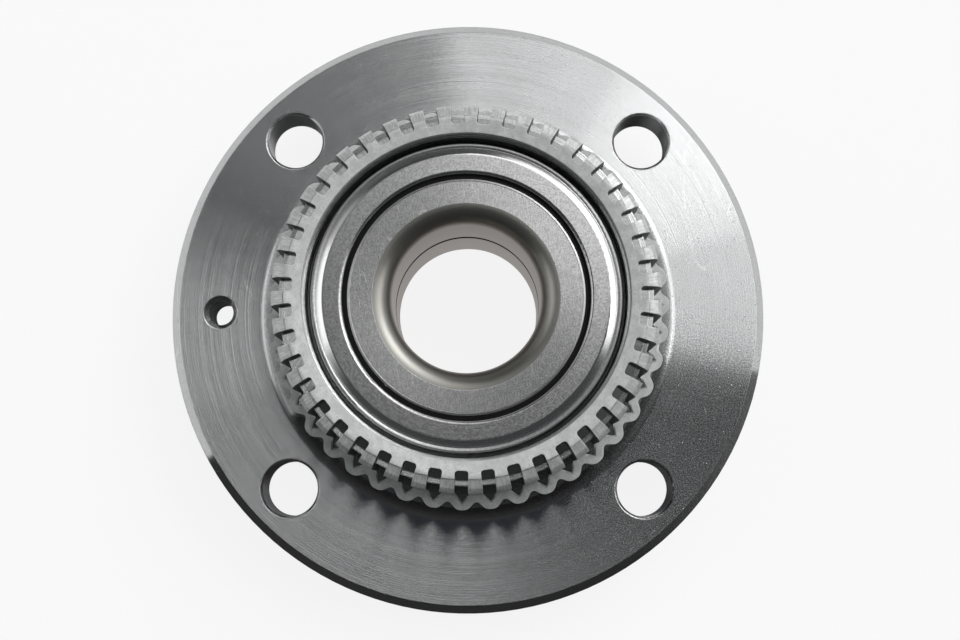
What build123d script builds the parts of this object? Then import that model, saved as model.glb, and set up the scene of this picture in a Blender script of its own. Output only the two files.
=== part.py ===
from build123d import *
import math
import os

# Wheel hub bearing of the second generation. The flanged hub is the rotating outer ring of a
# double-row angular-contact ball bearing, and two inner rings stand still on the stub axle.
# Lengths are in millimetres, angles in degrees.
#
# Frame: the origin is the centre of the bolt circle on the flange's wheel face, and +Z runs
# along the axle from the wheel towards the vehicle, where the tone ring sits.

# Flange
bolt_circle_diameter = 100.0
bolt_count = 4
bolt_first_angle = 45.0
bolt_hole_diameter = 11.0
bolt_hole_chamfer = 0.45
flange_border = 10.0
flange_thickness = 10.0
flange_edge_chamfer = 1.7
wheel_edge_chamfer = 0.8
screw_hole_diameter = 5.0
screw_mouth_step = 0.9
screw_hole_angle = 180.0

# Barrel, and the pilot that centres the brake disc and the wheel
barrel_wall = 5.0
barrel_height = 26.2
barrel_root_radius = 7.0
barrel_root_margin = 0.5
barrel_edge_chamfer = 1.9
barrel_ledge = 0.95
cap_seat_step = 0.8
pilot_wall = 2.8
pilot_height = 9.0
pilot_edge_chamfer = 1.2

# Rolling elements
ball_diameter = 10.319
balls_per_row = 12
pitch_diameter = 49.0
contact_angle = 35.0
groove_excess = 0.20
ball_race_gap = 0.10

# Raceways of the hub, and the seats of the seals at both ends of its bore
bearing_half_length = 18.0
hub_rib_height = 1.98
hub_land_drop = 0.18
seal_seat_step = 0.3
seal_seat_depth = 5.0
bore_mouth_chamfer = 0.3

# Inner rings
axle_bore_diameter = 28.0
ring_face_drop = 0.4
inner_shoulder_height = 2.88
inner_land_rise = 0.45
bore_corner_radius = 3.5
ring_edge_chamfer = 0.4
split_chamfer = 0.15

# Clip that holds the two inner rings together
clip_hook_start = 1.0
clip_hook_width = 0.8
clip_hook_depth = 0.75
clip_band_depth = 0.35
clip_clearance = 0.05
clip_gap = 2.0

# Cages
cage_shoulder_clearance = 0.6
cage_rib_clearance = 0.8
cage_pocket_clearance = 0.20
cage_lip_clearance = 0.44
cage_back = 1.0
cage_prong_reach = 2.8
prong_slot_width = 0.9
prong_slot_depth = 2.2

# Seals: a stamped case pressed into the hub, and a rubber lip bonded to its inner edge
seal_sheet = 0.5
seal_seat_clearance = 0.02
seal_foot_gap = 0.1
seal_face_drop = 0.1
seal_neck_step = 0.7
seal_neck_height = 2.6
seal_rim_width = 1.13
seal_step_run = 1.35
seal_step_depth = 0.7
seal_bend_radius = 0.15
seal_shoulder_radius = 0.9
seal_turned_edge = 1.7
lip_height = 0.9
lip_clearance = 0.10
lip_face_drop = 0.6
lip_edge_thickness = 0.6
lip_neck_thickness = 0.5
lip_length = 1.4

# Tone ring for the wheel speed sensor, pressed from sheet
tooth_count = 43
tone_phase = -1.35
tone_sheet = 1.4
tone_press_clearance = 0.02
tone_face_step = 0.55
coin_land = 3.3
coin_step = 0.25
coin_angle = 25.0
tone_wall_height = 18.1
tone_skirt_radius = 0.6
nose_reach = 3.18
nose_radius = 1.8
trough_drop = 1.5
trough_radius = 0.9
trough_half_angle = 45.0
slot_width = 2.5
slot_face_land = 1.7
slot_corner_radius = 0.6
slot_shoulder_reach = 0.18
slot_point_length = 1.5
slot_bevel = 0.3

# Places that follow from the sizes above
barrel_end = flange_thickness + barrel_height
mid_plane = barrel_end - bearing_half_length
ball_radius = ball_diameter / 2
pitch_radius = pitch_diameter / 2
seal_face = bearing_half_length - seal_face_drop
turned_edge_end = seal_face - seal_turned_edge
cage_end = turned_edge_end - lip_length - cage_lip_clearance
row_offset = cage_end - cage_back - ball_radius
groove_radius = ball_radius + groove_excess
groove_shift = groove_excess - ball_race_gap
shift_radial = groove_shift * math.cos(math.radians(contact_angle))
shift_axial = groove_shift * math.sin(math.radians(contact_angle))
MIDDLE = Plane.XY.offset(mid_plane)
# Sections are drawn with X as the radius and Y as the axial distance from the middle plane
SECTION = Plane(origin=(0, 0, mid_plane), x_dir=(1, 0, 0), z_dir=(0, -1, 0))


def groove_reach(radius, centre_radius):
    """Half the width of a raceway groove at the radius of the land that it meets."""
    return math.sqrt(groove_radius**2 - (radius - centre_radius) ** 2)


def write(part, name):
    part.label = name
    export_step(part, f"parts/{name}.step")


os.makedirs("parts", exist_ok=True)

# Hub: flange, barrel and pilot in one forging, with two raceways ground into its bore
hub_groove_centre = pitch_radius - shift_radial
hub_groove_offset = row_offset + shift_axial
hub_groove_bottom = hub_groove_centre + groove_radius
rib_radius = hub_groove_bottom - hub_rib_height
hub_land_radius = hub_groove_bottom - hub_land_drop
seat_radius = hub_land_radius + seal_seat_step
barrel_radius = seat_radius + barrel_wall
ledge_radius = barrel_radius - barrel_ledge
cap_seat_radius = seat_radius + cap_seat_step
bolt_radius = bolt_circle_diameter / 2
bolt_hole_radius = bolt_hole_diameter / 2
root_room = bolt_radius - bolt_hole_radius - bolt_hole_chamfer - barrel_root_margin - barrel_radius
rib_edge = hub_groove_offset - groove_reach(rib_radius, hub_groove_centre)
hub_land_edge = hub_groove_offset + groove_reach(hub_land_radius, hub_groove_centre)
seat_edge = bearing_half_length - seal_seat_depth

with BuildPart() as half_bore:
    with BuildSketch(SECTION):
        with BuildLine():
            Polyline((0, bearing_half_length), (0, 0), (rib_radius, 0), (rib_radius, rib_edge))
            ThreePointArc(
                (rib_radius, rib_edge),
                (hub_groove_bottom, hub_groove_offset),
                (hub_land_radius, hub_land_edge),
            )
            Polyline(
                (hub_land_radius, hub_land_edge),
                (hub_land_radius, seat_edge),
                (seat_radius, seat_edge),
                (seat_radius, bearing_half_length - bore_mouth_chamfer),
                (seat_radius + bore_mouth_chamfer, bearing_half_length),
                (0, bearing_half_length),
            )
        make_face()
    revolve(axis=Axis.Z)

with BuildPart() as hub_flange:
    with BuildSketch():
        Circle(bolt_radius + flange_border)
    extrude(amount=flange_thickness)
    chamfer(hub_flange.edges().sort_by(Axis.Z)[-1], length=flange_edge_chamfer)
    with BuildSketch(Plane.XY.offset(flange_thickness)):
        Circle(barrel_radius)
    extrude(amount=barrel_height)
    barrel_root = (barrel_radius, 0, flange_thickness)
    root_edge = hub_flange.edges().sort_by_distance(barrel_root)[0]
    fillet(root_edge, radius=min(barrel_root_radius, root_room))
    # The barrel's end is turned to a lead-in chamfer with a narrow ledge round its foot
    with BuildSketch(Plane.XZ):
        with BuildLine():
            Polyline(
                (ledge_radius - barrel_edge_chamfer, barrel_end),
                (ledge_radius, barrel_end - barrel_edge_chamfer),
                (barrel_radius + 1, barrel_end - barrel_edge_chamfer),
                (barrel_radius + 1, barrel_end),
                close=True,
            )
        make_face()
    revolve(axis=Axis.Z, mode=Mode.SUBTRACT)
    chamfer(hub_flange.edges().sort_by(Axis.Z)[0], length=wheel_edge_chamfer)
    with BuildSketch():
        Circle(cap_seat_radius + pilot_wall)
    extrude(amount=-pilot_height)
    chamfer(hub_flange.edges().sort_by(Axis.Z)[0], length=pilot_edge_chamfer)
    add(half_bore.part, mode=Mode.SUBTRACT)
    mirror(half_bore.part, about=MIDDLE, mode=Mode.SUBTRACT)
    # The grease cap's seat reaches from the pilot's end to the outboard seal
    with BuildSketch(Plane.XY.offset(-pilot_height)):
        Circle(cap_seat_radius)
    extrude(amount=pilot_height + mid_plane - bearing_half_length, mode=Mode.SUBTRACT)
    with PolarLocations(bolt_radius, bolt_count, start_angle=bolt_first_angle):
        Hole(bolt_hole_radius)
    hole_rims = hub_flange.edges().filter_by(lambda e: e.geom_type == GeomType.CIRCLE)
    hole_rims = hole_rims.filter_by(lambda e: abs(e.radius - bolt_hole_radius) < 0.001)
    chamfer(hole_rims, length=bolt_hole_chamfer)
    with Locations(Plane.XY.offset(flange_thickness)):
        with PolarLocations(bolt_radius, 1, start_angle=screw_hole_angle):
            CounterSinkHole(
                screw_hole_diameter / 2,
                screw_hole_diameter / 2 + screw_mouth_step,
                depth=flange_thickness,
                counter_sink_angle=90,
            )
write(hub_flange.part, "hub_flange")

# Tone ring: a sheet cap over the barrel's end with a coined shoulder, and a skirt that waves out
# to a nose at each slot
tone_wall_radius = barrel_radius + tone_press_clearance + tone_sheet
tone_top = barrel_end + tone_sheet
tone_corner_radius = barrel_edge_chamfer + tone_sheet
tone_skirt_top = tone_top - tone_wall_height
tone_inner_radius = seat_radius + tone_face_step
nose_tip = tone_wall_radius + nose_reach
trough_apex = nose_tip - trough_drop - trough_radius * (1 / math.sin(math.radians(trough_half_angle)) - 1)
trough_depth = nose_tip - trough_apex + 1
trough_spread = trough_depth * math.tan(math.radians(trough_half_angle))
coin_start = tone_inner_radius + coin_land
coin_end = tone_wall_radius + 1
coin_drop = coin_step + (coin_end - coin_start) * math.tan(math.radians(coin_angle))
slot_start = tone_inner_radius + slot_face_land
slot_shoulder = tone_wall_radius + slot_shoulder_reach
slot_apex = slot_shoulder + slot_point_length
slot_half = slot_width / 2
tooth_pitch = 360 / tooth_count

with BuildSketch() as tone_trough:
    with BuildLine():
        Polyline(
            (trough_apex, 0),
            (trough_apex + trough_depth, -trough_spread),
            (trough_apex + trough_depth, trough_spread),
            close=True,
        )
    make_face()
    fillet(tone_trough.vertices().sort_by(Axis.X)[0], radius=trough_radius)

with BuildSketch() as tone_outline:
    Circle(nose_tip)
    with PolarLocations(0, tooth_count, start_angle=tone_phase - 90 + tooth_pitch / 2):
        add(tone_trough.sketch, mode=Mode.SUBTRACT)
    nose_corners = tone_outline.vertices().filter_by(lambda v: math.hypot(v.X, v.Y) > nose_tip - 0.01)
    fillet(nose_corners, radius=nose_radius)

with BuildSketch() as tone_slot:
    with BuildLine():
        Polyline(
            (slot_start, -slot_half),
            (slot_shoulder, -slot_half),
            (slot_apex, 0),
            (slot_shoulder, slot_half),
            (slot_start, slot_half),
            close=True,
        )
    make_face()
    fillet(tone_slot.vertices().group_by(Axis.X)[0], radius=slot_corner_radius)

# The punch leaves a bevel round the point of each slot, on top of the skirt
with BuildSketch() as slot_point:
    with BuildLine():
        Polyline(
            (slot_shoulder, -slot_half),
            (slot_apex, 0),
            (slot_shoulder, slot_half),
            close=True,
        )
    make_face()
    offset(amount=slot_bevel, kind=Kind.INTERSECTION)
    Circle(tone_wall_radius + tone_skirt_radius, mode=Mode.SUBTRACT)

with BuildPart() as tone_ring:
    with BuildSketch(Plane.XZ):
        with BuildLine():
            FilletPolyline(
                (tone_inner_radius, tone_top),
                (tone_wall_radius, tone_top),
                (tone_wall_radius, tone_skirt_top),
                (nose_tip + nose_radius, tone_skirt_top),
                radius=(tone_corner_radius, tone_skirt_radius),
            )
            offset(amount=tone_sheet, side=Side.RIGHT)
        make_face()
    revolve(axis=Axis.Z)
    with BuildSketch(Plane.XZ):
        with BuildLine():
            Polyline(
                (coin_start, tone_top + 1),
                (coin_start, tone_top - coin_step),
                (coin_end, tone_top - coin_drop),
                (coin_end, tone_top + 1),
                close=True,
            )
        make_face()
    revolve(axis=Axis.Z, mode=Mode.SUBTRACT)
    with BuildSketch(Plane.XY.offset(tone_skirt_top - tone_sheet)):
        add(tone_outline.sketch)
    extrude(amount=tone_wall_height + tone_sheet, mode=Mode.INTERSECT)
    with BuildSketch(Plane.XY.offset(tone_top)):
        with PolarLocations(0, tooth_count, start_angle=tone_phase - 90):
            add(tone_slot.sketch)
    extrude(amount=-tone_wall_height - tone_sheet, mode=Mode.SUBTRACT)
    with BuildSketch(Plane.XY.offset(tone_skirt_top)):
        with PolarLocations(0, tooth_count, start_angle=tone_phase - 90):
            add(slot_point.sketch)
    extrude(amount=-slot_bevel, taper=45, mode=Mode.SUBTRACT)
write(tone_ring.part, "tone_ring")

# Inner rings: the outer ends carry the high shoulders, and the rings meet at the middle plane
bore_radius = axle_bore_diameter / 2
ring_groove_centre = pitch_radius + shift_radial
ring_groove_offset = row_offset - shift_axial
ring_groove_bottom = ring_groove_centre - groove_radius
shoulder_radius = ring_groove_bottom + inner_shoulder_height
inner_ring_width = bearing_half_length - ring_face_drop
clip_hook_end = clip_hook_start + clip_hook_width
ring_land_radius = ring_groove_bottom + inner_land_rise
ring_land_edge = ring_groove_offset - groove_reach(ring_land_radius, ring_groove_centre)
shoulder_edge = ring_groove_offset + groove_reach(shoulder_radius, ring_groove_centre)
hook_radius = ring_land_radius - clip_hook_depth
band_radius = ring_land_radius - clip_band_depth

with BuildPart() as inner_ring_inboard:
    with BuildSketch(SECTION) as ring_section:
        with BuildLine():
            Polyline(
                (ring_land_radius, ring_land_edge),
                (ring_land_radius, clip_hook_end),
                (hook_radius, clip_hook_end),
                (hook_radius, clip_hook_start),
                (band_radius, clip_hook_start),
                (band_radius, 0),
                (bore_radius + split_chamfer, 0),
                (bore_radius, split_chamfer),
                (bore_radius, inner_ring_width),
                (shoulder_radius - ring_edge_chamfer, inner_ring_width),
                (shoulder_radius, inner_ring_width - ring_edge_chamfer),
                (shoulder_radius, shoulder_edge),
            )
            ThreePointArc(
                (shoulder_radius, shoulder_edge),
                (ring_groove_bottom, ring_groove_offset),
                (ring_land_radius, ring_land_edge),
            )
        make_face()
        bore_corner = (bore_radius, inner_ring_width)
        fillet(ring_section.vertices().sort_by_distance(bore_corner)[0], radius=bore_corner_radius)
    revolve(axis=Axis.Z)
write(inner_ring_inboard.part, "inner_ring_inboard")

with BuildPart() as inner_ring_outboard:
    mirror(inner_ring_inboard.part, about=MIDDLE)
write(inner_ring_outboard.part, "inner_ring_outboard")

# Clip: an open band over the split, hooked into a groove of each inner ring
with BuildPart() as inner_ring_clip:
    with BuildSketch(SECTION):
        with BuildLine():
            Polyline(
                (band_radius + clip_clearance, 0),
                (band_radius + clip_clearance, clip_hook_start + clip_clearance),
                (hook_radius + clip_clearance, clip_hook_start + clip_clearance),
                (hook_radius + clip_clearance, clip_hook_end - clip_clearance),
                (ring_land_radius, clip_hook_end - clip_clearance),
                (ring_land_radius, 0),
                close=True,
            )
        make_face()
    revolve(axis=Axis.Z)
    mirror(about=MIDDLE)
    with BuildSketch(MIDDLE):
        with Locations((ring_land_radius, 0)):
            Rectangle(ring_land_radius, clip_gap)
    extrude(amount=clip_hook_end, both=True, mode=Mode.SUBTRACT)
write(inner_ring_clip.part, "inner_ring_clip")

# Cages: a solid back towards the seal, and prongs that snap over the balls from its side
cage_inner_radius = shoulder_radius + cage_shoulder_clearance
cage_outer_radius = rib_radius - cage_rib_clearance
prong_end = row_offset - cage_prong_reach
ball_pitch = 360 / balls_per_row

with BuildPart() as cage_inboard:
    with BuildSketch(Plane.XY.offset(mid_plane + prong_end)):
        Circle(cage_outer_radius)
        Circle(cage_inner_radius, mode=Mode.SUBTRACT)
    extrude(amount=cage_end - prong_end)
    with Locations(Plane.XY.offset(mid_plane + row_offset)):
        with PolarLocations(pitch_radius, balls_per_row):
            Sphere(ball_radius + cage_pocket_clearance, mode=Mode.SUBTRACT)
    with BuildSketch(Plane.XY.offset(mid_plane + prong_end)):
        with PolarLocations(pitch_radius, balls_per_row, start_angle=ball_pitch / 2):
            Rectangle(pitch_radius, prong_slot_width)
    extrude(amount=prong_slot_depth, mode=Mode.SUBTRACT)
write(cage_inboard.part, "cage_inboard")

with BuildPart() as cage_outboard:
    mirror(cage_inboard.part, about=MIDDLE)
write(cage_outboard.part, "cage_outboard")

# Balls
for row, offset_from_middle in (("inboard", row_offset), ("outboard", -row_offset)):
    for number in range(balls_per_row):
        angle = math.radians(number * ball_pitch)
        centre = (
            pitch_radius * math.cos(angle),
            pitch_radius * math.sin(angle),
            mid_plane + offset_from_middle,
        )
        with BuildPart() as ball:
            with Locations(centre):
                Sphere(ball_radius)
        write(ball.part, f"ball_{row}_{number + 1:02d}")

# Seal cases: sheet that runs up the hub's bore, necks in to a rim, steps up and turns in at the lip
seal_foot = seat_edge + seal_foot_gap
seal_outer_radius = seat_radius - seal_seat_clearance
neck_radius = seal_outer_radius - seal_neck_step
rim_height = seal_face - seal_step_depth
neck_start = rim_height - seal_neck_height
neck_end = neck_start + seal_neck_step
neck_shift = seal_sheet * math.tan(math.radians(45) / 2)
lip_seat_radius = shoulder_radius + lip_height
step_foot = neck_radius - seal_rim_width
step_top = step_foot - seal_step_run
step_angle = math.atan2(seal_step_depth, seal_step_run)
step_shift = seal_sheet * math.tan(step_angle / 2)
outside_bend = seal_bend_radius + seal_sheet

with BuildPart() as seal_case_inboard:
    with BuildSketch(SECTION):
        with BuildLine():
            outside = FilletPolyline(
                (seal_outer_radius, seal_foot),
                (seal_outer_radius, neck_start),
                (neck_radius, neck_end),
                (neck_radius, rim_height),
                (step_foot, rim_height),
                (step_top, seal_face),
                (lip_seat_radius, seal_face),
                (lip_seat_radius, turned_edge_end),
                radius=(
                    outside_bend,
                    seal_bend_radius,
                    seal_shoulder_radius,
                    seal_bend_radius,
                    outside_bend,
                    outside_bend,
                ),
            )
            inside = FilletPolyline(
                (seal_outer_radius - seal_sheet, seal_foot),
                (seal_outer_radius - seal_sheet, neck_start - neck_shift),
                (neck_radius - seal_sheet, neck_end - neck_shift),
                (neck_radius - seal_sheet, rim_height - seal_sheet),
                (step_foot - step_shift, rim_height - seal_sheet),
                (step_top - step_shift, seal_face - seal_sheet),
                (lip_seat_radius + seal_sheet, seal_face - seal_sheet),
                (lip_seat_radius + seal_sheet, turned_edge_end),
                radius=(
                    seal_bend_radius,
                    outside_bend,
                    seal_shoulder_radius - seal_sheet,
                    outside_bend,
                    seal_bend_radius,
                    seal_bend_radius,
                ),
            )
            Line(outside @ 0, inside @ 0)
            Line(outside @ 1, inside @ 1)
        make_face()
    revolve(axis=Axis.Z)
write(seal_case_inboard.part, "seal_case_inboard")

with BuildPart() as seal_case_outboard:
    mirror(seal_case_inboard.part, about=MIDDLE)
write(seal_case_outboard.part, "seal_case_outboard")

# Seal lips: a dust lip flush with the turned edge, and a main lip reaching along the shoulder
lip_tip_radius = shoulder_radius + lip_clearance
lip_top = seal_face - lip_face_drop

with BuildPart() as seal_lip_inboard:
    with BuildSketch(SECTION):
        with BuildLine():
            Polyline(
                (lip_seat_radius, lip_top - lip_edge_thickness),
                (lip_tip_radius, lip_top),
                (lip_tip_radius + lip_neck_thickness, turned_edge_end),
                (lip_tip_radius, turned_edge_end - lip_length + lip_neck_thickness),
                (lip_seat_radius, turned_edge_end - lip_length),
                (lip_seat_radius + seal_sheet, turned_edge_end),
                (lip_seat_radius, turned_edge_end),
                close=True,
            )
        make_face()
    revolve(axis=Axis.Z)
write(seal_lip_inboard.part, "seal_lip_inboard")

with BuildPart() as seal_lip_outboard:
    mirror(seal_lip_inboard.part, about=MIDDLE)
write(seal_lip_outboard.part, "seal_lip_outboard")
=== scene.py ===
# %% [markdown]
# # Wheel hub bearing
# A wheel hub is mostly turned, ground and pressed steel, and steel shows its making: a lathe
# leaves rings, a press leaves dull stretched skin, a grinder leaves fine hair lines. So this
# lesson spends its time on surfaces. The shapes come ready made from the engineering model,
# and every finish is built from nodes, so that it can be read, changed and reused.

# %% Load the engineering model
import math

import bpy
from mathutils import Matrix, Vector


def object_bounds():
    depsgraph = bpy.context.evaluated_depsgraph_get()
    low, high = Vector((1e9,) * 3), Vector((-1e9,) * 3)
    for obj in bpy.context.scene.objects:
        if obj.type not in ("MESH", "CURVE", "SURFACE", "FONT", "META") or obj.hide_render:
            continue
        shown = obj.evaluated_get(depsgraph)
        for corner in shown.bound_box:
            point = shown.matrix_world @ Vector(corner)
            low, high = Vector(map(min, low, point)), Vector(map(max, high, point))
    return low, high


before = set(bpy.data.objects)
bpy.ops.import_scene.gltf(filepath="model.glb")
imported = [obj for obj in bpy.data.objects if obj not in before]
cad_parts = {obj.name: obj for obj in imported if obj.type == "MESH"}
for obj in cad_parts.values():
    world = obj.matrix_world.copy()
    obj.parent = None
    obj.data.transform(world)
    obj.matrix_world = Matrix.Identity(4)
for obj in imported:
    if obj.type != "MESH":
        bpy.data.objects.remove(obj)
cad_box = [[float(value) for value in corner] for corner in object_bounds()]
print("nodes:", len(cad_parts))

# %% [markdown]
# ## Camera
# The hub is seen from its vehicle side, almost straight down the axle and a little from below.
# A lens and a distance could be judged by eye, but a hub has many true circles at known depths,
# so the camera here is a worked-out one: a rotation, an offset and a focal length in pixels.
# Its numbers are kept as they were solved, and the two matrices turn them into a Blender pose.

# %% Camera
FRAME_WIDTH_PX = 960
FOCAL_PX = 1484.88
SENSOR_MM = 36.0
TILT = (-0.11412, -0.00243, -0.00151)
OFFSET = Vector((-0.00247415, 0.00147778, -0.300))
FACE_HEIGHT = 0.010


def camera_pose(tilt, offset, height):
    """The camera's world matrix, for an object turned by tilt and then moved by offset."""
    turn_x, turn_y, turn_z = (Matrix.Rotation(a, 3, axis) for a, axis in zip(tilt, "XYZ"))
    turn = turn_x @ turn_y @ turn_z
    place = turn.transposed() @ -offset + Vector((0, 0, height))
    return Matrix.Translation(place) @ turn.transposed().to_4x4()


lens = bpy.data.cameras.new("hub camera")
lens.sensor_width = SENSOR_MM
lens.lens = SENSOR_MM * FOCAL_PX / FRAME_WIDTH_PX
lens.clip_start = 0.01
camera = bpy.data.objects.new("hub camera", lens)
camera.matrix_world = camera_pose(TILT, OFFSET, FACE_HEIGHT)
bpy.context.scene.collection.objects.link(camera)
bpy.context.scene.camera = camera
print("lens mm:", round(lens.lens, 2), "camera at:", [round(v, 4) for v in camera.location])

# %% [markdown]
# ## Small helpers for nodes
# A node tree written by hand is long, so a few helpers do the typing. `add_node` makes a node
# and fills its inputs, where an input may be a number or another node's output. The others are
# the steps that every finish needs: sums, products, soft steps, noise, and the point's place
# round the axle. `new_group` makes a node group with named inputs and outputs, which is how
# one effect serves many finishes.

# %% Node helpers
def plug(tree, socket, value):
    """Links an output to socket, or sets the socket's own value."""
    if isinstance(value, bpy.types.NodeSocket):
        tree.links.new(value, socket)
    else:
        socket.default_value = value


def add_node(tree, kind, inputs=None, **settings):
    """Adds a node, sets its properties and fills its inputs by name or by number."""
    node = tree.nodes.new("ShaderNode" + kind)
    for name, value in settings.items():
        setattr(node, name, value)
    for key, value in (inputs or {}).items():
        plug(tree, node.inputs[key], value)
    return node


def math_node(tree, operation, *values):
    return add_node(tree, "Math", dict(enumerate(values)), operation=operation).outputs[0]


def times(tree, *values):
    """The product of all the values."""
    total = values[0]
    for value in values[1:]:
        total = math_node(tree, "MULTIPLY", total, value)
    return total


def plus(tree, *values):
    """The sum of all the values."""
    total = values[0]
    for value in values[1:]:
        total = math_node(tree, "ADD", total, value)
    return total


def vector_node(tree, operation, *values):
    """A step of vector arithmetic: its output is a vector, or a number where it makes one."""
    node = add_node(tree, "VectorMath", dict(enumerate(values)), operation=operation)
    makes_number = operation in ("LENGTH", "DISTANCE", "DOT_PRODUCT")
    return node.outputs["Value" if makes_number else "Vector"]


def blend_node(tree, factor, first, second):
    """A number between first and second."""
    return add_node(tree, "Mix", {0: factor, 2: first, 3: second}, data_type="FLOAT").outputs[0]


print("node helpers ready")

# %% Steps, noise and place
def ramp(tree, value, low, high, start=0.0, end=1.0):
    """A smooth step of value from low to high."""
    node = add_node(
        tree,
        "MapRange",
        {"Value": value, "From Min": low, "From Max": high, "To Min": start, "To Max": end},
        interpolation_type="SMOOTHSTEP",
    )
    return node.outputs[0]


def steps_from(tree, value, low, high):
    """1 where value lies between low and high, and 0 elsewhere."""
    above = math_node(tree, "GREATER_THAN", value, low)
    return times(tree, above, math_node(tree, "LESS_THAN", value, high))


def noise(tree, place, scale, detail):
    inputs = {"Vector": place, "Scale": scale, "Detail": detail}
    return add_node(tree, "TexNoise", inputs).outputs[0]


def object_place(tree):
    return add_node(tree, "TexCoord").outputs["Object"]


def place_of(tree):
    """The point's place in metres, its three axes, its flat part and its reach from the axle."""
    place = object_place(tree)
    axes = add_node(tree, "SeparateXYZ", {0: place}).outputs
    flat = add_node(tree, "CombineXYZ", {0: axes[0], 1: axes[1]}).outputs[0]
    return place, axes, flat, vector_node(tree, "LENGTH", flat)


def soft_edges(tree, radius):
    """The surface's normal, rounded within radius of each edge."""
    return add_node(tree, "Bevel", {"Radius": radius}, samples=4).outputs[0]


print("steps, noise and place ready")

# %% Group helpers
SOCKETS = {"value": "NodeSocketFloat", "vector": "NodeSocketVector"}


def new_group(name, inputs, outputs):
    """A shader node group, its input node and its output node."""
    group = bpy.data.node_groups.new(name, "ShaderNodeTree")
    for label, start in inputs.items():
        socket = group.interface.new_socket(label, in_out="INPUT", socket_type=SOCKETS["value"])
        socket.default_value = start
    for label, kind in outputs.items():
        group.interface.new_socket(label, in_out="OUTPUT", socket_type=SOCKETS[kind])
    return group, group.nodes.new("NodeGroupInput"), group.nodes.new("NodeGroupOutput")


def use_group(tree, group, inputs):
    """Places a group in a tree, fills its inputs and returns its outputs."""
    node = tree.nodes.new("ShaderNodeGroup")
    node.node_tree = group
    for key, value in inputs.items():
        plug(tree, node.inputs[key], value)
    return node.outputs


print("group helpers ready")

# %% [markdown]
# ## Turning marks
# A lathe tool leaves fine rings round the axle on every face that it cuts: on a flat face they
# are circles of growing radius, and on a barrel they are hoops along its length. One number
# serves both, the radius plus the height, because only one of them changes on each surface.
# Noise that is stretched along the ring gives the grooves, and the same noise in far broader
# rings gives the bands that a change of feed or of tool leaves.

# %% Turning marks group
ROUND_CHANGE = 1.5
BAND_BREADTH = (0.06, 1.0, 1.0)
turning, inside, outside = new_group(
    "turning marks", {"Pitch": 0.0002}, {"Height": "value", "Bands": "value"}
)
place, axes, flat, reach = place_of(turning)
path = plus(turning, reach, axes[2])
around = add_node(turning, "SeparateXYZ", {0: vector_node(turning, "NORMALIZE", flat)}).outputs
ring_place = add_node(turning, "CombineXYZ", {
    0: math_node(turning, "DIVIDE", path, inside.outputs["Pitch"]),
    1: times(turning, around[0], ROUND_CHANGE),
    2: times(turning, around[1], ROUND_CHANGE),
}).outputs[0]
plug(turning, outside.inputs["Height"], noise(turning, ring_place, 1.0, 3.0))
band_place = vector_node(turning, "MULTIPLY", ring_place, BAND_BREADTH)
plug(turning, outside.inputs["Bands"], noise(turning, band_place, 1.0, 2.0))
print("turning marks:", len(turning.nodes), "nodes")

# %% [markdown]
# ## Lathe normal
# The finest grooves are far thinner than a pixel, so a bump map can't show them: all that the
# eye sees is how they scatter light, in a fan across the grooves and hardly at all along them.
# So this group leans each point's normal across the grooves by a random step, which the
# renderer's own sampling blends into that fan. The bevel node first rounds the normals near
# edges, so that every turned edge catches a thin line of light.

# %% Lathe normal group
AXLE = (0.0, 0.0, 1.0)
lathe, inside, outside = new_group(
    "lathe normal", {"Pitch": 0.00005, "Spread": 0.5, "Edge": 0.0002}, {"Normal": "vector"}
)
place, axes, flat, reach = place_of(lathe)
path = math_node(lathe, "DIVIDE", plus(lathe, reach, axes[2]), inside.outputs["Pitch"])
grooves = add_node(lathe, "TexNoise", {"W": path, "Scale": 1.0, "Detail": 1.0},
                   noise_dimensions="1D").outputs[0]
lean = times(lathe, math_node(lathe, "SUBTRACT", grooves, 0.5), inside.outputs["Spread"])
rounded = soft_edges(lathe, inside.outputs["Edge"])
local = add_node(lathe, "VectorTransform", {0: rounded}, vector_type="NORMAL",
                 convert_from="WORLD", convert_to="OBJECT").outputs[0]
ring_way = vector_node(lathe, "NORMALIZE", vector_node(lathe, "CROSS_PRODUCT", AXLE, flat))
cross_way = vector_node(lathe, "CROSS_PRODUCT", ring_way, local)
push = add_node(lathe, "VectorMath", {0: cross_way, "Scale": lean}, operation="SCALE").outputs[0]
leaned = vector_node(lathe, "ADD", local, push)
back = add_node(lathe, "VectorTransform", {0: leaned}, vector_type="NORMAL",
                convert_from="OBJECT", convert_to="WORLD").outputs[0]
plug(lathe, outside.inputs["Normal"], vector_node(lathe, "NORMALIZE", back))
print("lathe normal:", len(lathe.nodes), "nodes")

# %% [markdown]
# ## Straight grain
# Emery paper and handling leave fine straight lines. A noise that is stretched along one
# direction gives them: squeezed across it, the spots become lines. A second, far longer noise
# that is kept only at its middle value draws the few single scratches.

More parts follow.
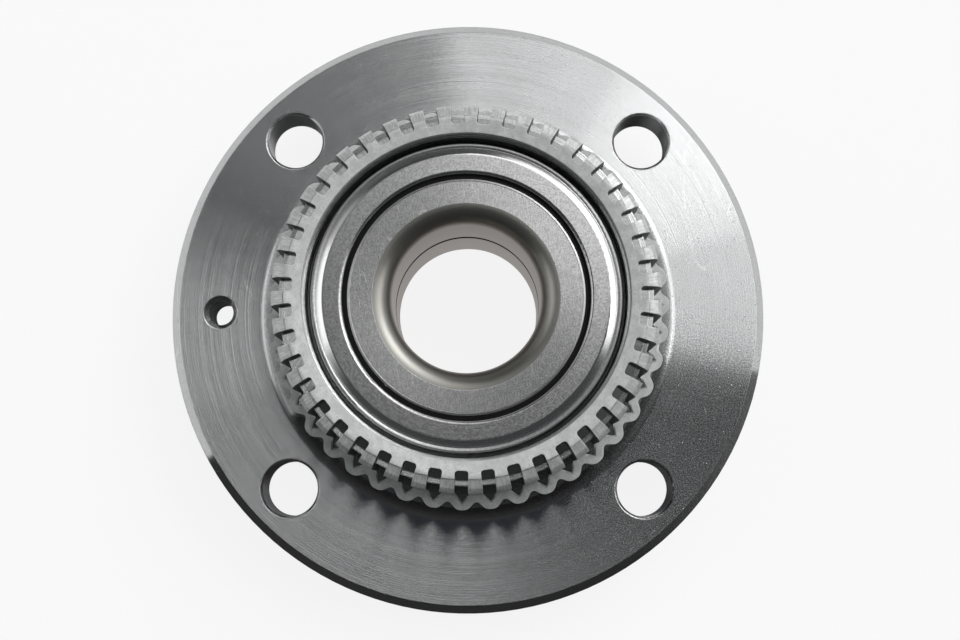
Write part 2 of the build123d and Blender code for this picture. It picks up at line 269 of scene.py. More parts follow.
# %% Straight grain group
SCRATCH_SWINGS = (-0.012, 0.028)
SCRATCH_SHIFT = 0.031
PATCH_SCALES = (150.0, 220.0)
grain, inside, outside = new_group(
    "straight grain",
    {"Angle": 0.0, "Lines": 2000.0, "Stretch": 14.0, "Scratches": 90.0, "Width": 0.006},
    {"Grain": "value", "Scratch": "value"},
)
place = object_place(grain)
turned = add_node(grain, "VectorRotate", {"Vector": place, "Angle": inside.outputs["Angle"]},
                  rotation_type="Z_AXIS").outputs[0]
axes = add_node(grain, "SeparateXYZ", {0: turned}).outputs
along = math_node(grain, "DIVIDE", axes[1], inside.outputs["Stretch"])
squeezed = add_node(grain, "CombineXYZ", {0: axes[0], 1: along, 2: axes[2]}).outputs[0]
plug(grain, outside.inputs["Grain"], noise(grain, squeezed, inside.outputs["Lines"], 3.0))
single = 0.0
for number, (swing, patch_scale) in enumerate(zip(SCRATCH_SWINGS, PATCH_SCALES), 1):
    swung = add_node(grain, "VectorRotate", {"Vector": squeezed, "Angle": swing},
                     rotation_type="Z_AXIS").outputs[0]
    moved = vector_node(grain, "ADD", swung, (SCRATCH_SHIFT * number, 0.0, 0.0))
    level = noise(grain, moved, inside.outputs["Scratches"], 0.0)
    offset = math_node(grain, "ABSOLUTE", math_node(grain, "SUBTRACT", level, 0.5))
    thin = ramp(grain, offset, inside.outputs["Width"], 0.0)
    patch = ramp(grain, noise(grain, place, patch_scale, 1.0), 0.5, 0.62)
    single = math_node(grain, "MAXIMUM", single, times(grain, thin, patch))
plug(grain, outside.inputs["Scratch"], single)
print("straight grain:", len(grain.nodes), "nodes")

# %% [markdown]
# ## Specks
# Bare steel carries small dark pits, oil spots and dust. Cells of random points, each with its
# own random number, give dots that can be kept or dropped by that number.

# %% Specks group
specks, inside, outside = new_group(
    "specks", {"Scale": 900.0, "Size": 0.25, "Share": 0.3}, {"Mask": "value"}
)
place = object_place(specks)
cells = add_node(specks, "TexVoronoi", {"Vector": place, "Scale": inside.outputs["Scale"]})
dot = ramp(specks, cells.outputs["Distance"], inside.outputs["Size"], 0.0)
pick = add_node(specks, "SeparateXYZ", {0: cells.outputs["Color"]}).outputs[0]
chosen = math_node(specks, "LESS_THAN", pick, inside.outputs["Share"])
plug(specks, outside.inputs["Mask"], times(specks, dot, chosen))
print("specks:", len(specks.nodes), "nodes")

# %% [markdown]
# ## Worn edges and painted highlight
# Edges catch knocks, so they end up smoother than the faces beside them, and brighter: the
# brightness is partly wear and partly a painted highlight. The bevel node rounds the normal near
# an edge, and where the rounded normal leaves the true one, there is an edge. A little noise
# breaks the line up, because no edge wears evenly.

# %% Worn edges group, also a painted highlight
EDGE_MATCH = (0.995, 0.86)
wear_and_highlight, inside, outside = new_group(
    "worn edges", {"Width": 0.0003, "Break Up": 300.0}, {"Mask": "value"}
)
soft_normal = add_node(wear_and_highlight, "Bevel", {"Radius": inside.outputs["Width"]}, samples=6).outputs[0]
true_normal = add_node(wear_and_highlight, "NewGeometry").outputs["Normal"]
match = vector_node(wear_and_highlight, "DOT_PRODUCT", soft_normal, true_normal)
gaps = noise(wear_and_highlight, object_place(wear_and_highlight), inside.outputs["Break Up"], 3.0)
gaps = ramp(wear_and_highlight, gaps, 0.3, 0.6)
plug(wear_and_highlight, outside.inputs["Mask"], times(wear_and_highlight, ramp(wear_and_highlight, match, *EDGE_MATCH), gaps))
print("worn edges:", len(wear_and_highlight.nodes), "nodes")

# %% [markdown]
# ## A start for every finish
# Each finish below is a Principled shader with its own numbers. The shader stays in the
# material itself, and the groups above feed its colour, roughness and bump. Colours are laid
# down as coats over a base colour: each coat has a mask, a share and a colour of its own.

# %% Material start
NO_TINT = (1.0, 1.0, 1.0)
STEEL_TINT = (0.985, 0.995, 1.0)


def grey(level, tint=NO_TINT):
    return (level * tint[0], level * tint[1], level * tint[2], 1.0)


def start_material(name, **settings):
    """A material with one Principled shader, whose plain sockets are set by name."""
    material = bpy.data.materials.new(name)
    material.use_nodes = True
    shader = material.node_tree.nodes["Principled BSDF"]
    for label, value in settings.items():
        shader.inputs[label.replace("_", " ")].default_value = value
    return material, material.node_tree, shader


def mix_color(tree, factor, first, second):
    inputs = {0: factor, 6: first, 7: second}
    return add_node(tree, "Mix", inputs, data_type="RGBA").outputs[2]


def coats_on(tree, base, *coats):
    """Lays coats over a base colour, each by its mask, its share and its colour."""
    for mask, share, color in coats:
        base = mix_color(tree, times(tree, mask, share), base, color)
    return base


print("material start ready")

# %% Relief and dressing
def bump(tree, height, distance, strength=1.0, normal=None):
    node = add_node(tree, "Bump", {"Height": height, "Distance": distance, "Strength": strength})
    if normal is not None:
        plug(tree, node.inputs["Normal"], normal)
    return node.outputs[0]


def lean_by(tree, rise, normal):
    """Leans a normal as if the surface rose by rise metres. Only the look changes."""
    return bump(tree, rise, 1.0, 1.0, normal)


def ring_tangent(tree, shader):
    """Points the shader's stretched highlights across the rings that the lathe left."""
    around = add_node(tree, "Tangent", direction_type="RADIAL", axis="Z").outputs[0]
    plug(tree, shader.inputs["Tangent"], around)


def dress(nodes, material):
    """Gives carried-over nodes their new finish."""
    for name in nodes:
        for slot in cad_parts[name].material_slots:
            slot.material = material
    print(material.name, "on", len(nodes), "nodes")


# %% [markdown]
# ## Turned steel
# The flange and barrel are bare forged steel, turned all over. Its rings spread every highlight
# into spokes that run from the hub outwards, which is what an anisotropic shader and the lathe
# normal do together. One side of the flange kept a coarser grain, so a patch there is left
# grainy and the rest is calmer. At the foot of the curve up to the barrel the normal leans
# outwards more than the shape does, by up to 50 degrees. No shape was measured for that: it
# was chosen for the pale band it gives. The bolt holes are drilled and left rough, so
# a mask by place gives them a look of their own.

# %% Drilled hole mask
HOLE_CIRCLE = 0.05
HOLE_ANGLE = math.radians(45)
HOLE_REACH = 0.0056
HOLE_PLACE = (HOLE_CIRCLE * math.cos(HOLE_ANGLE), HOLE_CIRCLE * math.sin(HOLE_ANGLE), 0.0)
material, tree, shader = start_material(
    "turned steel", Metallic=1.0, Anisotropic=1.0, Anisotropic_Rotation=0.25
)
ring_tangent(tree, shader)
place, axes, flat, reach = place_of(tree)
folded = vector_node(tree, "ABSOLUTE", flat)
across = vector_node(tree, "LENGTH", vector_node(tree, "SUBTRACT", folded, HOLE_PLACE))
drilled = math_node(tree, "LESS_THAN", across, HOLE_REACH)
print("drilled holes within mm:", HOLE_REACH * 1000)

# %% Turned steel colour
PATCH_PLACE = (0.042, -0.030, 0.010)
PATCH_REACH = (0.036, 0.014)
PLAIN_GRAIN = 0.15
coarse = ramp(tree, vector_node(tree, "DISTANCE", place, PATCH_PLACE), *PATCH_REACH,
              PLAIN_GRAIN, 1.0)
rings = use_group(tree, turning, {"Pitch": 0.00018})["Height"]
lines = use_group(tree, grain, {"Lines": 900.0, "Stretch": 5.0, "Scratches": 60.0,
                                "Width": 0.004})
dark_spots = use_group(tree, specks, {"Scale": 1500.0, "Size": 0.35, "Share": 0.14})[0]
edges = use_group(tree, wear_and_highlight, {"Width": 0.0003})[0]
cloud = noise(tree, place, 160.0, 5.0)
fine = noise(tree, place, 3400.0, 2.0)
grainy = mix_color(tree, ramp(tree, fine, 0.4, 0.6), grey(0.37, STEEL_TINT),
                   grey(0.70, STEEL_TINT))
base = coats_on(
    tree,
    mix_color(tree, coarse, grey(0.53, STEEL_TINT), grainy),
    (ramp(tree, cloud, 0.35, 0.65), 0.12, grey(0.48)),
    (ramp(tree, rings, 0.5, 0.8), 0.12, grey(0.42)),
    (dark_spots, 0.6, grey(0.2)),
    (lines["Scratch"], 0.3, grey(0.75)),
    # lighter edges: partly wear, partly a painted highlight
    (edges, 0.8, grey(0.95)),
    (drilled, 0.6, grey(0.33)),
)
plug(tree, shader.inputs["Base Color"], base)
print("grainy patch at:", PATCH_PLACE, "grain elsewhere:", PLAIN_GRAIN)

# %% Turned steel relief
FILLET_REACH = 0.0420
FILLET_CURVE = 230.0
FILLET_TOP = 0.0106
GRAIN_RISE, FINE_RISE, GLINT_RISE = 0.08, 0.12, 6.0
STEEL_DEPTH = 0.000005
rough = plus(tree, ramp(tree, cloud, 0.25, 0.75, 0.175, 0.20), times(tree, edges, 0.3),
             times(tree, drilled, 0.25))
plug(tree, shader.inputs["Roughness"], rough)
spread = use_group(tree, lathe, {"Pitch": 0.00005, "Spread": 0.9, "Edge": 0.0003})[0]
short_of = math_node(tree, "MAXIMUM", math_node(tree, "SUBTRACT", FILLET_REACH, reach), 0.0)
on_flange = math_node(tree, "LESS_THAN", axes[2], FILLET_TOP)
leaned = lean_by(tree, times(tree, short_of, short_of, FILLET_CURVE, on_flange), spread)
glints = use_group(tree, specks, {"Scale": 1700.0, "Size": 0.22, "Share": 0.12})[0]
relief = plus(tree, times(tree, lines["Grain"], GRAIN_RISE), times(tree, fine, FINE_RISE),
              times(tree, glints, GLINT_RISE))
plug(tree, shader.inputs["Normal"], bump(tree, relief, STEEL_DEPTH, 1.0, leaned))
dress(["hub_flange"], material)

# %% [markdown]
# ## Zinc plated sheet
# The tone ring is pressed from sheet and plated. Plating is a dull, slightly mottled light
# grey, so most of its light is scattered and only a little of it is mirrored. The press drags
# fine lines down the ring's shoulder. The normal of its face leans inwards by 7 degrees, as if
# the press had dished it, though the shape is level. A thin dark line of painted shade runs
# along the crease on the face. The punch shears the slots, and their walls are painted near
# black as shade; masks by angle and by normal find them.

# %% Slot wall mask, for painted shade
TEETH = 43
PITCH = math.tau / TEETH
FIRST_SLOT = math.radians(-91.35)
SLOT_HALF = 0.0013
SLOT_START = 0.0320
WALL_UP, WALL_OUT = 0.5, 0.85
material, tree, shader = start_material("zinc plated sheet", Metallic=0.35)
place, axes, flat, reach = place_of(tree)
angle = math_node(tree, "ARCTAN2", axes[1], axes[0])
from_slot = math_node(tree, "SUBTRACT", angle, FIRST_SLOT)
turn = math_node(tree, "WRAP", from_slot, PITCH / 2, -PITCH / 2)
aside = math_node(tree, "ABSOLUTE", times(tree, turn, reach))
facing = add_node(tree, "TexCoord").outputs["Normal"]
facing_up = add_node(tree, "SeparateXYZ", {0: facing}).outputs[2]
facing_out = vector_node(tree, "DOT_PRODUCT", facing, vector_node(tree, "NORMALIZE", flat))
# the slot walls, which are painted near black as shade
slot_wall_shade = times(
    tree,
    math_node(tree, "LESS_THAN", aside, SLOT_HALF),
    math_node(tree, "LESS_THAN", math_node(tree, "ABSOLUTE", facing_up), WALL_UP),
    math_node(tree, "LESS_THAN", math_node(tree, "ABSOLUTE", facing_out), WALL_OUT),
    math_node(tree, "GREATER_THAN", reach, SLOT_START),
)
print("slots:", TEETH, "pitch in degrees:", round(math.degrees(PITCH), 3))

# %% Drag lines and the painted crease shade mask
SHOULDER = (0.0339, 0.0363)
DRAG_ROUND, DRAG_DOWN = 0.035, 0.12
CREASE_REACH = 0.03375
CREASE_HALF = 0.00014
CREASE_HEIGHT = 0.037
mottle = noise(tree, place, 620.0, 5.0)
drag_place = add_node(tree, "CombineXYZ", {
    0: times(tree, angle, DRAG_ROUND),
    1: times(tree, reach, DRAG_DOWN),
    2: times(tree, axes[2], DRAG_DOWN),
}).outputs[0]
drag = ramp(tree, noise(tree, drag_place, 4200.0, 3.0), 0.4, 0.6)
dragged = times(tree, drag, steps_from(tree, reach, *SHOULDER))
# painted shade: a thin dark line along the crease, where the step's shadow falls
crease_shade = times(
    tree,
    steps_from(tree, reach, CREASE_REACH - CREASE_HALF, CREASE_REACH + CREASE_HALF),
    ramp(tree, mottle, 0.35, 0.6),
    math_node(tree, "GREATER_THAN", axes[2], CREASE_HEIGHT),
)
print("crease at mm:", CREASE_REACH * 1000)

# %% Zinc plated sheet
ZINC_TINT = (0.98, 1.0, 0.985)
# near black, for the painted shade on the slot walls
SHADED_WALL = (0.06, 0.06, 0.05, 1.0)
DISH = 0.12
MOTTLE_RISE = 1.5
ZINC_DEPTH = 0.00002
fine = noise(tree, place, 2600.0, 3.0)
cloud = noise(tree, place, 90.0, 3.0)
pits = use_group(tree, specks, {"Scale": 1800.0, "Size": 0.35, "Share": 0.12})[0]
edges = use_group(tree, wear_and_highlight, {"Width": 0.00025})[0]
base = coats_on(
    tree,
    mix_color(tree, ramp(tree, mottle, 0.35, 0.7), grey(0.64, ZINC_TINT),
              grey(0.78, ZINC_TINT)),
    (ramp(tree, fine, 0.5, 0.7), 0.45, grey(0.44, ZINC_TINT)),
    (ramp(tree, cloud, 0.5, 0.8), 0.3, grey(0.52, ZINC_TINT)),
    (pits, 0.35, grey(0.30)),
    (dragged, 0.35, grey(0.24)),
    # painted shade along the crease
    (crease_shade, 0.7, grey(0.12)),
    # lighter edges: partly wear, partly a painted highlight
    (edges, 0.7, grey(0.86)),
    # painted shade on the slot walls
    (slot_wall_shade, 0.85, SHADED_WALL),
)
plug(tree, shader.inputs["Base Color"], base)
plug(tree, shader.inputs["Roughness"], ramp(tree, cloud, 0.3, 0.7, 0.36, 0.46))
dish = lean_by(tree, times(tree, reach, DISH), soft_edges(tree, 0.0002))
relief = plus(tree, fine, times(tree, mottle, MOTTLE_RISE), dragged)
plug(tree, shader.inputs["Normal"], bump(tree, relief, ZINC_DEPTH, 0.6, dish))
dress(["tone_ring"], material)

# %% [markdown]
# ## Ground bearing steel
# The inner rings are hardened and ground. Their faces carry fine straight grain and a few
# scratches from handling. The bore is satin and a little brown, and a near black band runs
# round it where the two rings meet. The small chamfer round the face is cut at 45 degrees. Its
# normal leans back towards the face's by about 26 degrees, to give it its brightness.

# %% Bearing steel masks
BORE_REACH = 0.0143
CORNER_REACH = 0.0174
CHAMFER_REACH = 0.0216
SPLIT_HEIGHT = 0.0182
SPLIT_HALF = 0.0008
material, tree, shader = start_material(
    "ground bearing steel", Metallic=1.0, Anisotropic=0.6, Anisotropic_Rotation=0.25
)
ring_tangent(tree, shader)
place, axes, flat, reach = place_of(tree)
bore = math_node(tree, "LESS_THAN", reach, BORE_REACH)
face = math_node(tree, "GREATER_THAN", reach, CORNER_REACH)
corner = math_node(tree, "SUBTRACT", 1.0, face)
chamfer = math_node(tree, "GREATER_THAN", reach, CHAMFER_REACH)
split = times(tree, steps_from(tree, axes[2], SPLIT_HEIGHT - SPLIT_HALF,
                               SPLIT_HEIGHT + SPLIT_HALF), bore)
print("masks: bore, face, corner, chamfer and split line")

# %% Ground bearing steel colour
CORNER_GREY = (0.28, 0.275, 0.25, 1.0)
BORE_BROWN = (0.40, 0.365, 0.34, 1.0)
CROSS_SHARE = 0.5
lines = use_group(tree, grain, {"Angle": -0.12, "Lines": 6400.0, "Stretch": 9.0,
                                "Scratches": 260.0, "Width": 0.010})
cross = use_group(tree, grain, {"Angle": 1.25, "Lines": 4200.0, "Stretch": 6.0,
                                "Scratches": 200.0, "Width": 0.005})
spots = use_group(tree, specks, {"Scale": 2600.0, "Size": 0.4, "Share": 0.15})[0]
streaks = plus(tree, lines["Grain"], times(tree, cross["Grain"], CROSS_SHARE))
fine = plus(tree, times(tree, streaks, face), noise(tree, place, 3800.0, 2.0))
scratch = times(tree, math_node(tree, "MAXIMUM", lines["Scratch"], cross["Scratch"]), face)
base = coats_on(
    tree,
    mix_color(tree, ramp(tree, fine, 1.0, 1.5), grey(0.36), grey(0.56)),
    (spots, 0.35, grey(0.26)),
    (scratch, 0.4, grey(0.80)),
    (corner, 0.85, CORNER_GREY),
    (bore, 0.85, BORE_BROWN),
    # a near black band round the bore where the two rings meet
    (split, 1.0, grey(0.02)),
)
plug(tree, shader.inputs["Base Color"], base)
print("coats: spots, scratches, corner, bore and split line")

# %% Ground bearing steel relief
CHAMFER_LEAN = 0.7
SCRATCH_DEPTH = 1.2
GROUND_DEPTH = 0.000004
rough = plus(tree, 0.27, times(tree, corner, 0.07), times(tree, bore, 0.11),
             times(tree, chamfer, 0.15), times(tree, split, 0.4))
plug(tree, shader.inputs["Roughness"], rough)
leaning = lean_by(tree, times(tree, reach, CHAMFER_LEAN, chamfer), soft_edges(tree, 0.00015))
relief = math_node(tree, "SUBTRACT", fine, times(tree, scratch, SCRATCH_DEPTH))
plug(tree, shader.inputs["Normal"], bump(tree, relief, GROUND_DEPTH, 1.0, leaning))
dress(["inner_ring_inboard", "inner_ring_outboard", "inner_ring_clip"], material)

# %% [markdown]
# ## Rolled stainless sheet
# The seal's case is drawn from thin bright sheet. Its step is polished by the drawing die and
# is painted lighter as a highlight; its flat face is dulled by fine pits of dried grease, and
# the turned-in edge is painted bright as a highlight. The normals lean inwards, by 4 degrees on
# the step and by up to 19 on the rim. Both were chosen to place the highlights.

# %% Rolled stainless masks
EDGE_REACH = 0.02330
CONE_REACH = (0.0266, 0.02805)
RIM_REACH = (0.02805, 0.0289)
material, tree, shader = start_material(
    "rolled stainless sheet", Metallic=1.0, Anisotropic=0.4, Anisotropic_Rotation=0.25
)
ring_tangent(tree, shader)
place, axes, flat, reach = place_of(tree)
# the turned-in edge, which gets a painted highlight
highlit = math_node(tree, "LESS_THAN", reach, EDGE_REACH)
dull = math_node(tree, "LESS_THAN", reach, CONE_REACH[0])
cone = steps_from(tree, reach, *CONE_REACH)
rim = steps_from(tree, reach, *RIM_REACH)
print("masks: rubbed edge, dull face, cone and rim")

# %% Rolled stainless sheet
RIM_LEAN = 0.35
CONE_LEAN = 0.07
ROLLED_DEPTH = 0.000005
marks = use_group(tree, turning, {"Pitch": 0.00012})
spots = use_group(tree, specks, {"Scale": 2400.0, "Size": 0.45, "Share": 0.3})[0]
fine = noise(tree, place, 3200.0, 3.0)
base = coats_on(
    tree,
    mix_color(tree, marks["Bands"], grey(0.46), grey(0.52)),
    (ramp(tree, fine, 0.42, 0.62), 0.7, grey(0.32)),
    (spots, 0.5, grey(0.72)),
    # painted highlight on the step
    (cone, 0.8, grey(0.74)),
    # painted highlight on the turned-in edge
    (highlit, 0.7, grey(0.70)),
)
plug(tree, shader.inputs["Base Color"], base)
rough = plus(tree, 0.18, times(tree, dull, 0.05), times(tree, rim, 0.15))
plug(tree, shader.inputs["Roughness"], rough)
slope = plus(tree, times(tree, reach, RIM_LEAN, rim), times(tree, reach, CONE_LEAN, cone))
leaning = lean_by(tree, slope, soft_edges(tree, 0.00015))
relief = plus(tree, marks["Height"], fine)
plug(tree, shader.inputs["Normal"], bump(tree, relief, ROLLED_DEPTH, 1.0, leaning))
dress(["seal_case_inboard", "seal_case_outboard"], material)

# %% [markdown]
# ## Rubber, cage plastic and balls
# The lips are black nitrile rubber, the cages are natural polyamide, a warm translucent white,
# and the balls are the one true mirror in the bearing.

# %% Rubber
material, tree, shader = start_material(
    "nitrile rubber", Roughness=0.6, Specular_IOR_Level=0.15
)
skin = noise(tree, object_place(tree), 2500.0, 2.0)
plug(tree, shader.inputs["Base Color"], mix_color(tree, skin, grey(0.006), grey(0.02)))
plug(tree, shader.inputs["Normal"], bump(tree, skin, 0.00002, 0.4))
dress(["seal_lip_inboard", "seal_lip_outboard"], material)

# %% Cage plastic
CAGE_COLORS = (0.70, 0.63, 0.46, 1.0), (0.80, 0.75, 0.60, 1.0)
material, tree, shader = start_material(
    "cage polyamide", Roughness=0.45, Subsurface_Weight=0.15,
    Subsurface_Radius=(0.001, 0.0008, 0.0005)
)
cloud = noise(tree, object_place(tree), 150.0, 4.0)
plug(tree, shader.inputs["Base Color"], mix_color(tree, cloud, *CAGE_COLORS))
plug(tree, shader.inputs["Normal"], bump(tree, cloud, 0.00002, 0.5))
dress(["cage_inboard", "cage_outboard"], material)

# %% Balls
material, tree, shader = start_material("polished ball steel", Metallic=1.0)
haze = noise(tree, object_place(tree), 700.0, 3.0)
plug(tree, shader.inputs["Base Color"], mix_color(tree, haze, grey(0.70), grey(0.76)))
plug(tree, shader.inputs["Roughness"], ramp(tree, haze, 0.3, 0.8, 0.05, 0.12))
dress([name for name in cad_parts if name.startswith("ball_")], material)

# %% [markdown]
# ## Studio
# Metal shows what stands round it. The sky of this studio is drawn by direction: a dim grey
# tent with a few bright soft cards, so each turned face gets its spokes of light. The group
# below is one such card, with soft edges, that shows in a range of directions. The largest card
# hangs over the work and has two straight edges, so flat faces mirror a sharp border of it.
# The camera, and mirrors that look out sideways, see a white backdrop instead, a little dimmer
# on the far side, so that walls that stand upright don't all turn white.

# %% Soft card group
NEAR_BLUR = 0.06
FAR_BLUR = 0.10
card, inside, outside = new_group(
    "soft card",
    {"Azimuth": 0.0, "Half Width": 0.5, "Edge": 0.1, "Nearest": 0.0, "Farthest": 1.0,
     "Level": 1.0},
    {"Light": "value"},
)
ray = add_node(card, "TexCoord").outputs["Generated"]
ray_axes = add_node(card, "SeparateXYZ", {0: ray}).outputs
heading = math_node(card, "ARCTAN2", ray_axes[1], ray_axes[0])
turn = math_node(card, "WRAP", math_node(card, "SUBTRACT", heading, inside.outputs["Azimuth"]),
                 math.pi, -math.pi)
half = inside.outputs["Half Width"]
across = ramp(card, math_node(card, "ABSOLUTE", turn),
              plus(card, half, inside.outputs["Edge"]), half)
lean = math_node(card, "ARCCOSINE", ray_axes[2])
nearest, farthest = inside.outputs["Nearest"], inside.outputs["Farthest"]
along = times(card, ramp(card, lean, nearest, plus(card, nearest, NEAR_BLUR)),
              ramp(card, lean, plus(card, farthest, FAR_BLUR), farthest))
plug(card, outside.inputs["Light"], times(card, across, along, inside.outputs["Level"]))
print("soft card:", len(card.nodes), "nodes")

# %% Soft cards in the sky
CARDS = (
    # name, azimuth, half width, edge, nearest, farthest, level
    ("haze", 118, 13, 12, 9, 40, 0.25),
    ("key", 33, 37, 12, 38, 60, 1.9),
    ("side", 166, 24, 18, 42, 62, 0.50),
)
TENT_LEVEL = 0.06
world = bpy.data.worlds.new("studio")
bpy.context.scene.world = world
world.use_nodes = True
sky = world.node_tree
total = TENT_LEVEL
for name, azimuth, half, edge, nearest, farthest, level in CARDS:
    angles = {"Azimuth": azimuth, "Half Width": half, "Edge": edge,
              "Nearest": nearest, "Farthest": farthest}
    values = {label: math.radians(angle) for label, angle in angles.items()}
    total = plus(sky, total, use_group(sky, card, {**values, "Level": level})[0])
print("cards:", [line[0] for line in CARDS], "tent level:", TENT_LEVEL)

# %% Card overhead
OVER_EDGES = (
    # the way from the edge into the card, and the edge's place along it at a height of one
    (0, -0.05),
    (79, 0.126),
)
OVER_BLUR = 0.02
OVER_FAR = (44, 50)
OVER_LEVEL = 1.55
LOWEST_RAY = 0.1
ray = add_node(sky, "TexCoord").outputs["Generated"]
ray_height = add_node(sky, "SeparateXYZ", {0: ray}).outputs[2]
over = ramp(sky, math_node(sky, "ARCCOSINE", ray_height), math.radians(OVER_FAR[1]),
            math.radians(OVER_FAR[0]), 0.0, OVER_LEVEL)
for azimuth, distance in OVER_EDGES:
    inward = (math.cos(math.radians(azimuth)), math.sin(math.radians(azimuth)), 0.0)
    along = math_node(sky, "DIVIDE", vector_node(sky, "DOT_PRODUCT", ray, inward),
                      math_node(sky, "MAXIMUM", ray_height, LOWEST_RAY))
    over = times(sky, over, ramp(sky, along, distance - OVER_BLUR, distance + OVER_BLUR))
total = plus(sky, total, over)
print("card overhead with", len(OVER_EDGES), "straight edges")

# %% World
BACKDROP_LEVEL = 1.0
SIDE_ON = (0.25, 0.12)
FAR_SIDE = {"Azimuth": math.radians(90), "Half Width": math.radians(42), "Edge": 0.2,
            "Nearest": 0.1, "Farthest": math.pi, "Level": 0.25}
WHITE = (1.0, 1.0, 1.0, 1.0)
COOL_WHITE = (0.94, 0.98, 1.0, 1.0)
rays = add_node(sky, "LightPath").outputs
mirrored = math_node(sky, "MAXIMUM", rays["Is Glossy Ray"], rays["Is Transmission Ray"])
side_on = times(sky, mirrored, ramp(sky, ray_height, *SIDE_ON))
far_side = use_group(sky, card, FAR_SIDE)[0]
white = math_node(sky, "SUBTRACT", BACKDROP_LEVEL, far_side)
level = blend_node(sky, side_on, total, white)
level = blend_node(sky, rays["Is Camera Ray"], level, 1.0)
tint = mix_color(sky, ramp(sky, level, 0.1, 0.6), COOL_WHITE, WHITE)
background = sky.nodes["Background"]
plug(sky, background.inputs["Color"], tint)
plug(sky, background.inputs["Strength"], level)
print("world:", len(sky.nodes), "nodes")

# %% [markdown]
# ## Lamps
# Two soft lamps add to the sky's scattered light, for the dull plating, the rubber and the
# shadow on the floor. They stay weak, so that each colour renders about as it is written.

# %% Lamps
LAMPS = (
    # name, place, size, watts
    ("key", (0.36, 0.36, 0.55), 0.35, 0.9),
    ("fill", (-0.50, 0.08, 0.45), 0.40, 0.4),
)
for name, place, size, power in LAMPS:
    light = bpy.data.lights.new(name, "AREA")
    light.shape = "DISK"
    light.size = size
    light.energy = power
    lamp = bpy.data.objects.new(name, light)
    lamp.location = place
    lamp.rotation_euler = (-Vector(place)).to_track_quat("-Z", "Y").to_euler()
    lamp.visible_camera = False
    bpy.context.scene.collection.objects.link(lamp)
print("lamps:", [lamp[0] for lamp in LAMPS])

# %% [markdown]
# ## Black card
# A bright room makes turned steel look flat. Studios lay a black card by the near side of the
# work, so that the edges that face it turn dark and show their shape. This one is a strip that
# lies on the floor and curves up like a sweep, with a ring of it under the flange so that the
# bolt holes turn dark inside. A navy blue collar stands round the near half of the tone ring,
# cut to the beat of its teeth, so that the flange close to the ring turns blue black and shows
# dark streaks between the teeth. A lid runs in from the collar towards the barrel and keeps
# most of the sky out from between them. All of it is one mesh of quads, and only mirrored rays
# meet it.

# %% Ring under the flange
# Painted shade: the dark ring under the flange makes the bolt holes mirror black inside.
FLOOR_HEIGHT = cad_box[0][2]
CARD_LIFT = 0.0002
UNDER = (0.0345, 0.058)
UNDER_STEPS = 48


def on_circle(reach, angle, height):
    return reach * math.cos(angle), reach * math.sin(angle), height


points, quads = [], []
for step in range(UNDER_STEPS):
    angle = math.tau * step / UNDER_STEPS
    points += [on_circle(reach, angle, FLOOR_HEIGHT + CARD_LIFT) for reach in UNDER]
    after = 2 * ((step + 1) % UNDER_STEPS)
    quads.append((2 * step, 2 * step + 1, after + 1, after))
print("ring under the flange:", len(quads), "quads")

# %% Sweep
CARD_ARC = (206, 352)
CARD_STEPS = 30
# reach from the axle, rise over the floor
CARD_PROFILE = ((0.058, CARD_LIFT), (0.110, CARD_LIFT), (0.135, 0.010), (0.150, 0.035),
                (0.155, 0.130))


def join_rows(first, row, length):
    """The quads between a row of points and the one before it."""
    corners = range(first + row * length, first + (row + 1) * length - 1)
    return [(c - length, c - length + 1, c + 1, c) for c in corners]


first = len(points)
for step in range(CARD_STEPS + 1):
    angle = math.radians(CARD_ARC[0] + (CARD_ARC[1] - CARD_ARC[0]) * step / CARD_STEPS)
    points += [on_circle(reach, angle, FLOOR_HEIGHT + rise) for reach, rise in CARD_PROFILE]
    if step:
        quads += join_rows(first, step, len(CARD_PROFILE))
print("ring and sweep:", len(quads), "quads")

# %% Collar and lid
# Painted reflection: the collar and lid make the flange by the ring mirror blue black, with dark
# streaks between the teeth.
COLLAR_ARC = (206, 338)
COLLAR_REACH = (0.0380, 0.0414)
COLLAR_WAVE = 0.0004
COLLAR_RISE = (0.0075, 0.0100)
END_DROP = 0.9
LID_FOOT = 0.0160
LID_REACH = 0.0365
STEPS_A_TOOTH = 4
steps = STEPS_A_TOOTH * round((COLLAR_ARC[1] - COLLAR_ARC[0]) / math.degrees(PITCH))
first = len(points)
for step in range(steps + 1):
    angle = FIRST_SLOT + PITCH * (step - steps / 2) / STEPS_A_TOOTH
    beat = math.cos(TEETH * (angle - FIRST_SLOT))
    to_end = abs(2.0 * step / steps - 1.0) ** 2
    rise = (COLLAR_RISE[0] - COLLAR_RISE[1] * beat / 2) * (1.0 - END_DROP * to_end)
    reach = COLLAR_REACH[1] + (COLLAR_REACH[0] - COLLAR_REACH[1]) * to_end - COLLAR_WAVE * beat
    points += [on_circle(LID_REACH, angle, LID_FOOT), on_circle(reach, angle, LID_FOOT),
               on_circle(reach, angle, LID_FOOT + rise)]
    if step:
        quads += join_rows(first, step, 3)
print("ring, sweep and collar:", len(quads), "quads")

# %% Black card
card_mesh = bpy.data.meshes.new("black card")
card_mesh.from_pydata(points, [], quads)
black_card = bpy.data.objects.new("black_card", card_mesh)
bpy.context.scene.collection.objects.link(black_card)
black_card.visible_camera = False
black_card.visible_diffuse = False
black_card.visible_shadow = False
print("black card faces:", len(card_mesh.polygons))

# %% [markdown]
# ## Felt
# The card is black felt, which scatters almost nothing. A room never turns a mirror fully
# black, though, so the felt glows a little: barely under the flange, more along the sweep
# towards its far end, where the room's light washes over it, and in navy blue on the collar.

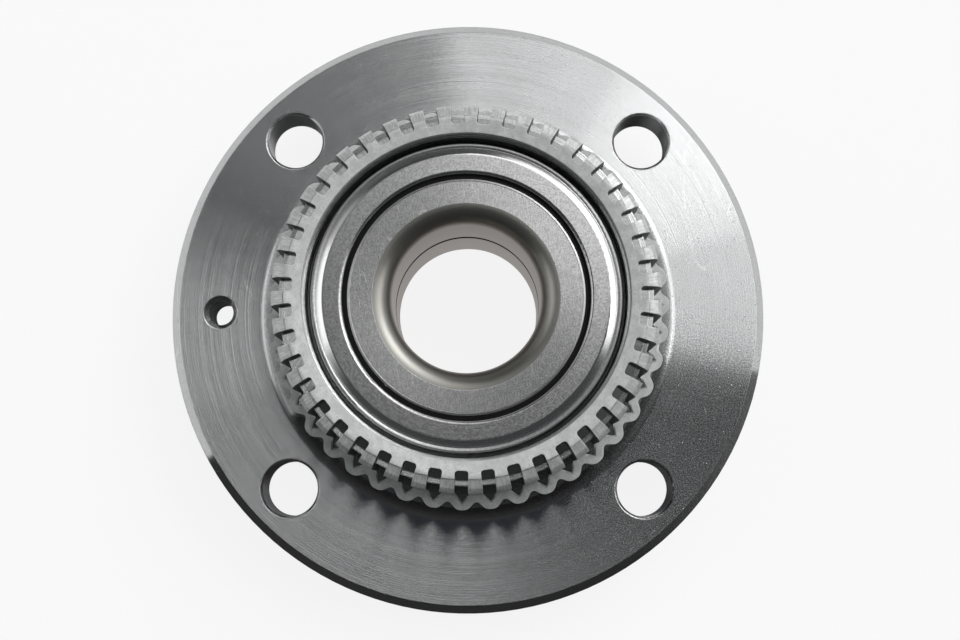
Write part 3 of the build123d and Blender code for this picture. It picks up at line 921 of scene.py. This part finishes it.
# %% Felt
CARD_FADE = (300, 350)
CARD_FADE_LEVEL = (0.03, 0.16)
UNDER_LEVEL = 0.03
COLLAR_LEVEL = 0.06
# navy glow of the collar, for the painted reflection on the flange
NAVY = (0.13, 0.17, 0.46, 1.0)
REACH_SLACK, FOOT_SLACK = 0.001, 0.0001
felt, tree, shader = start_material("black felt", Roughness=1.0, Specular_IOR_Level=0.0)
shader.inputs["Base Color"].default_value = grey(0.008)
place, axes, flat, reach = place_of(tree)
around = math_node(tree, "ADD", math_node(tree, "ARCTAN2", axes[1], axes[0]), math.tau)
wash = ramp(tree, around, *(math.radians(angle) for angle in CARD_FADE), *CARD_FADE_LEVEL)
on_sweep = math_node(tree, "GREATER_THAN", reach, UNDER[1] + REACH_SLACK)
on_collar = times(tree, math_node(tree, "GREATER_THAN", axes[2], LID_FOOT - FOOT_SLACK),
                  math_node(tree, "LESS_THAN", reach, COLLAR_REACH[1] + REACH_SLACK))
glow = blend_node(tree, on_sweep, UNDER_LEVEL, wash)
glow = blend_node(tree, on_collar, glow, COLLAR_LEVEL)
plug(tree, shader.inputs["Emission Color"], mix_color(tree, on_collar, WHITE, NAVY))
plug(tree, shader.inputs["Emission Strength"], glow)
card_mesh.materials.append(felt)
print("felt glows from", UNDER_LEVEL, "to", CARD_FADE_LEVEL[1])

# %% [markdown]
# ## Floor
# The hub rests on its pilot, on a plain pale floor. The floor takes the hub's shadow as any
# matt surface does, and adds a white of its own for the camera and for mirrors.

# %% Floor
FLOOR_SIZE = 6.0
FLOOR_GLOW = 0.87
FLOOR_GREY = 0.95
CORNERS = ((-1, -1), (1, -1), (1, 1), (-1, 1))
floor_mesh = bpy.data.meshes.new("floor")
corners = [(x * FLOOR_SIZE / 2, y * FLOOR_SIZE / 2, FLOOR_HEIGHT) for x, y in CORNERS]
floor_mesh.from_pydata(corners, [], [(0, 1, 2, 3)])
floor = bpy.data.objects.new("floor", floor_mesh)
bpy.context.scene.collection.objects.link(floor)
print("floor at z:", round(FLOOR_HEIGHT, 4))

# %% Floor white
paint = bpy.data.materials.new("floor white")
paint.use_nodes = True
tree = paint.node_tree
tree.nodes.clear()
rays = add_node(tree, "LightPath").outputs
mirrored = math_node(tree, "MAXIMUM", rays["Is Glossy Ray"], rays["Is Transmission Ray"])
seen = math_node(tree, "MAXIMUM", rays["Is Camera Ray"], mirrored)
matt = add_node(tree, "BsdfDiffuse", {"Color": grey(FLOOR_GREY)}).outputs[0]
glow = add_node(tree, "Emission", {"Color": WHITE}).outputs[0]
share = times(tree, seen, FLOOR_GLOW)
blend = add_node(tree, "MixShader", {0: share, 1: matt, 2: glow}).outputs[0]
add_node(tree, "OutputMaterial", {"Surface": blend})
floor_mesh.materials.append(paint)
print("floor white:", len(tree.nodes), "nodes")

# %% [markdown]
# ## Finish
# Colours are shown as they are written, with no film look, so the finishes can be judged.

# %% Finish
bpy.context.scene.view_settings.view_transform = "Standard"
